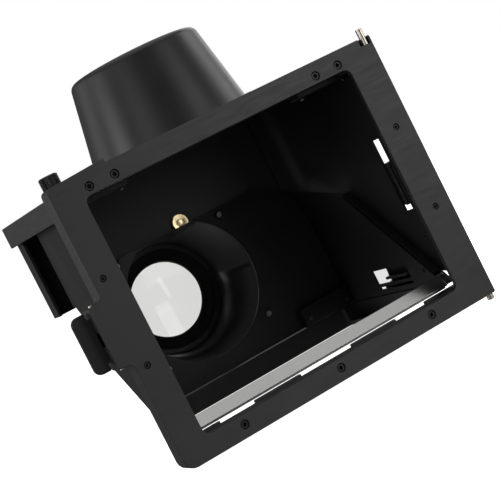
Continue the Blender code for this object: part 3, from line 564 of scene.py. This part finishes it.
def turned_brass(node):
    """The adjuster: a thin head with a shallow turned ring in its face, and its shank."""
    low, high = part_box(node)
    face_centre = Vector(((low.x + high.x) / 2, low.y, (low.z + high.z) / 2))
    radius = (high.x - low.x) / 2
    length = high.y - low.y
    head = 0.95 * MM
    shank = 2.0 * MM
    axis = 0.01 * MM
    profile = [
        (axis, 0.0),
        (0.35 * radius, 0.0),
        (0.42 * radius, -0.12 * MM),
        (0.50 * radius, 0.0),
        (radius - 0.35 * MM, 0.0),
        (radius, -0.3 * MM),
        (radius, -head),
        (shank, -head),
        (shank, -length + 0.4 * MM),
        (shank - 0.4 * MM, -length),
        (axis, -length),
    ]
    bm = bmesh.new()
    closed_skin(bm, [ring(bm, r, height, 96) for r, height in profile])
    stand(bm, face_centre, Vector((0, -1, 0)))
    return settle(soften(mesh_piece(node + "_finished", bm)), node)


# The hood, node by node. Each size is the rounding of its edges.
refine("front_frame", 0.30 * MM)
# The side walls and back panel take the darker inside paint: painted shade for the hood's dim
# inside.
for name in ("side_wall_left", "side_wall_right"):
    refine(name, 0.12 * MM, INSIDE_PAINTED_SHADE)
refine("top_cover", 0.30 * MM)
refine("back_panel", 0.0, INSIDE_PAINTED_SHADE, angle=20.0, flatten=False)
for name in ("corner_block_left", "corner_block_right", "corner_web_left"):
    refine(name, 0.12 * MM)
refine("lower_rail", 0.15 * MM)
refine("mirror_glass", 0.20 * MM)
refine("mirror_carrier", 0.20 * MM)
refine("mirror_lower_clip", 0.15 * MM)
for name in ("mirror_seal_left", "mirror_seal_right"):
    foam_strip(name)
eyepiece()
refine("lens_cell", 0.0, angle=40.0)
refine("eyepiece_lens", 0.0, angle=50.0)
refine("lens_retainer", 0.0)
refine("knob_boss", 0.0, angle=30.0)
knurled_knob("lock_knob")
turned_brass("mirror_adjuster")
refine("adjuster_locknut", 0.2 * MM)
refine("hinge_pin_upper", 0.0, angle=30.0)
refine("hinge_pin_lower", 0.0, angle=30.0)
refine("latch_pin", 0.1 * MM)
refine("latch_lever", 0.25 * MM)
refine("pin_slider", 0.25 * MM)
coil("pin_spring", 9, 0.25 * MM)
coil("latch_spring", 4, 0.25 * MM)
for name in sorted(NODES):
    if name.startswith("frame_screw"):
        socket_screw(name, (0, -1, 0))
    elif name.startswith("eyepiece_screw"):
        socket_screw(name, (0, 0, 1))
    elif name.startswith("block_screw"):
        socket_screw(name, (0, 0, -1), DULL_STEEL)


# ---------------------------------------------------------------- set

MIDDLE = (0.0, 0.0, 0.0)
WHITE = (1.0, 1.0, 1.0, 1.0)
WORLD_ON_OBJECT = 0.13      # how strongly the white surroundings light the object


def area_light(name, position, width, height, watts, target=MIDDLE):
    light = bpy.data.lights.new(name, "AREA")
    light.shape = "RECTANGLE"
    light.size = width
    light.size_y = height
    light.energy = watts
    lamp = bpy.data.objects.new(name, light)
    lamp.location = position
    aim = Vector(target) - Vector(position)
    lamp.rotation_euler = aim.to_track_quat("-Z", "Y").to_euler()
    bpy.context.scene.collection.objects.link(lamp)


def pale_floor():
    """A white floor that the camera sees, and that neither lights the object nor shows in it."""
    bm = bmesh.new()
    bmesh.ops.create_grid(bm, x_segments=1, y_segments=1, size=30.0)
    floor = mesh_piece("floor", bm)
    floor.location.z = CAD_BOX[0].z - 0.4 * MM
    s = Shader("pale_floor", grey(0.90), 0.9, 0.0, 0.1)
    s.set("Emission Color", WHITE)
    s.set("Emission Strength", 1.0)
    floor.data.materials.append(s.material)
    bpy.context.scene.collection.objects.link(floor)
    floor.visible_diffuse = False
    floor.visible_glossy = False
    floor.visible_transmission = False


def studio_world():
    """White behind the object, dimmer for what lights it."""
    world = bpy.data.worlds.new("studio")
    world.use_nodes = True
    tree = world.node_tree
    lit = tree.nodes["Background"]
    lit.inputs["Color"].default_value = WHITE
    lit.inputs["Strength"].default_value = WORLD_ON_OBJECT
    seen = tree.nodes.new("ShaderNodeBackground")
    seen.inputs["Color"].default_value = WHITE
    seen.inputs["Strength"].default_value = 1.0
    path = tree.nodes.new("ShaderNodeLightPath")
    mix = tree.nodes.new("ShaderNodeMixShader")
    tree.links.new(path.outputs["Is Camera Ray"], mix.inputs["Fac"])
    tree.links.new(lit.outputs["Background"], mix.inputs[1])
    tree.links.new(seen.outputs["Background"], mix.inputs[2])
    tree.links.new(mix.outputs["Shader"], tree.nodes["World Output"].inputs["Surface"])
    bpy.context.scene.world = world


def camera():
    """The photo's view: from the front left and a little above, and tilted well to one side."""
    position = (-0.2369, -0.5379, 0.0362)
    ahead = Vector((0.3846, 0.9215, -0.0552)).normalized()
    leaning_up = Vector((0.4344, -0.1279, 0.8916))
    data = bpy.data.cameras.new("camera")
    data.lens = 106.6
    data.sensor_width = 36.0
    data.clip_start = 0.01
    data.clip_end = 100.0
    view = bpy.data.objects.new("camera", data)
    right = ahead.cross(leaning_up).normalized()
    up = right.cross(ahead)
    turn = Matrix((right, up, -ahead)).transposed().to_4x4()
    view.matrix_world = Matrix.Translation(position) @ turn
    bpy.context.scene.collection.objects.link(view)
    bpy.context.scene.camera = view


pale_floor()
studio_world()
area_light("overhead", (0.1, 0.0, 1.0), 1.4, 1.4, 4.6, target=(0.05, 0.0, 0.0))
area_light("front_left", (-1.0, -0.9, 0.35), 0.7, 0.7, 2.4)
area_light("front_right", (0.8, -1.2, 0.25), 0.7, 0.7, 4.2)
area_light("front_low", (0.5, -1.2, -0.55), 0.8, 0.6, 1.8)
area_light("left", (-1.3, 0.1, 0.2), 0.5, 0.9, 5.0)
area_light("right", (1.2, 0.1, 0.25), 0.5, 0.9, 3.5)
area_light("back_left", (-0.9, 0.9, 0.4), 0.6, 0.9, 1.7)
area_light("back_right", (0.9, 0.9, 0.4), 0.6, 0.9, 3.0)
camera()
bpy.context.scene.view_settings.view_transform = "Standard"
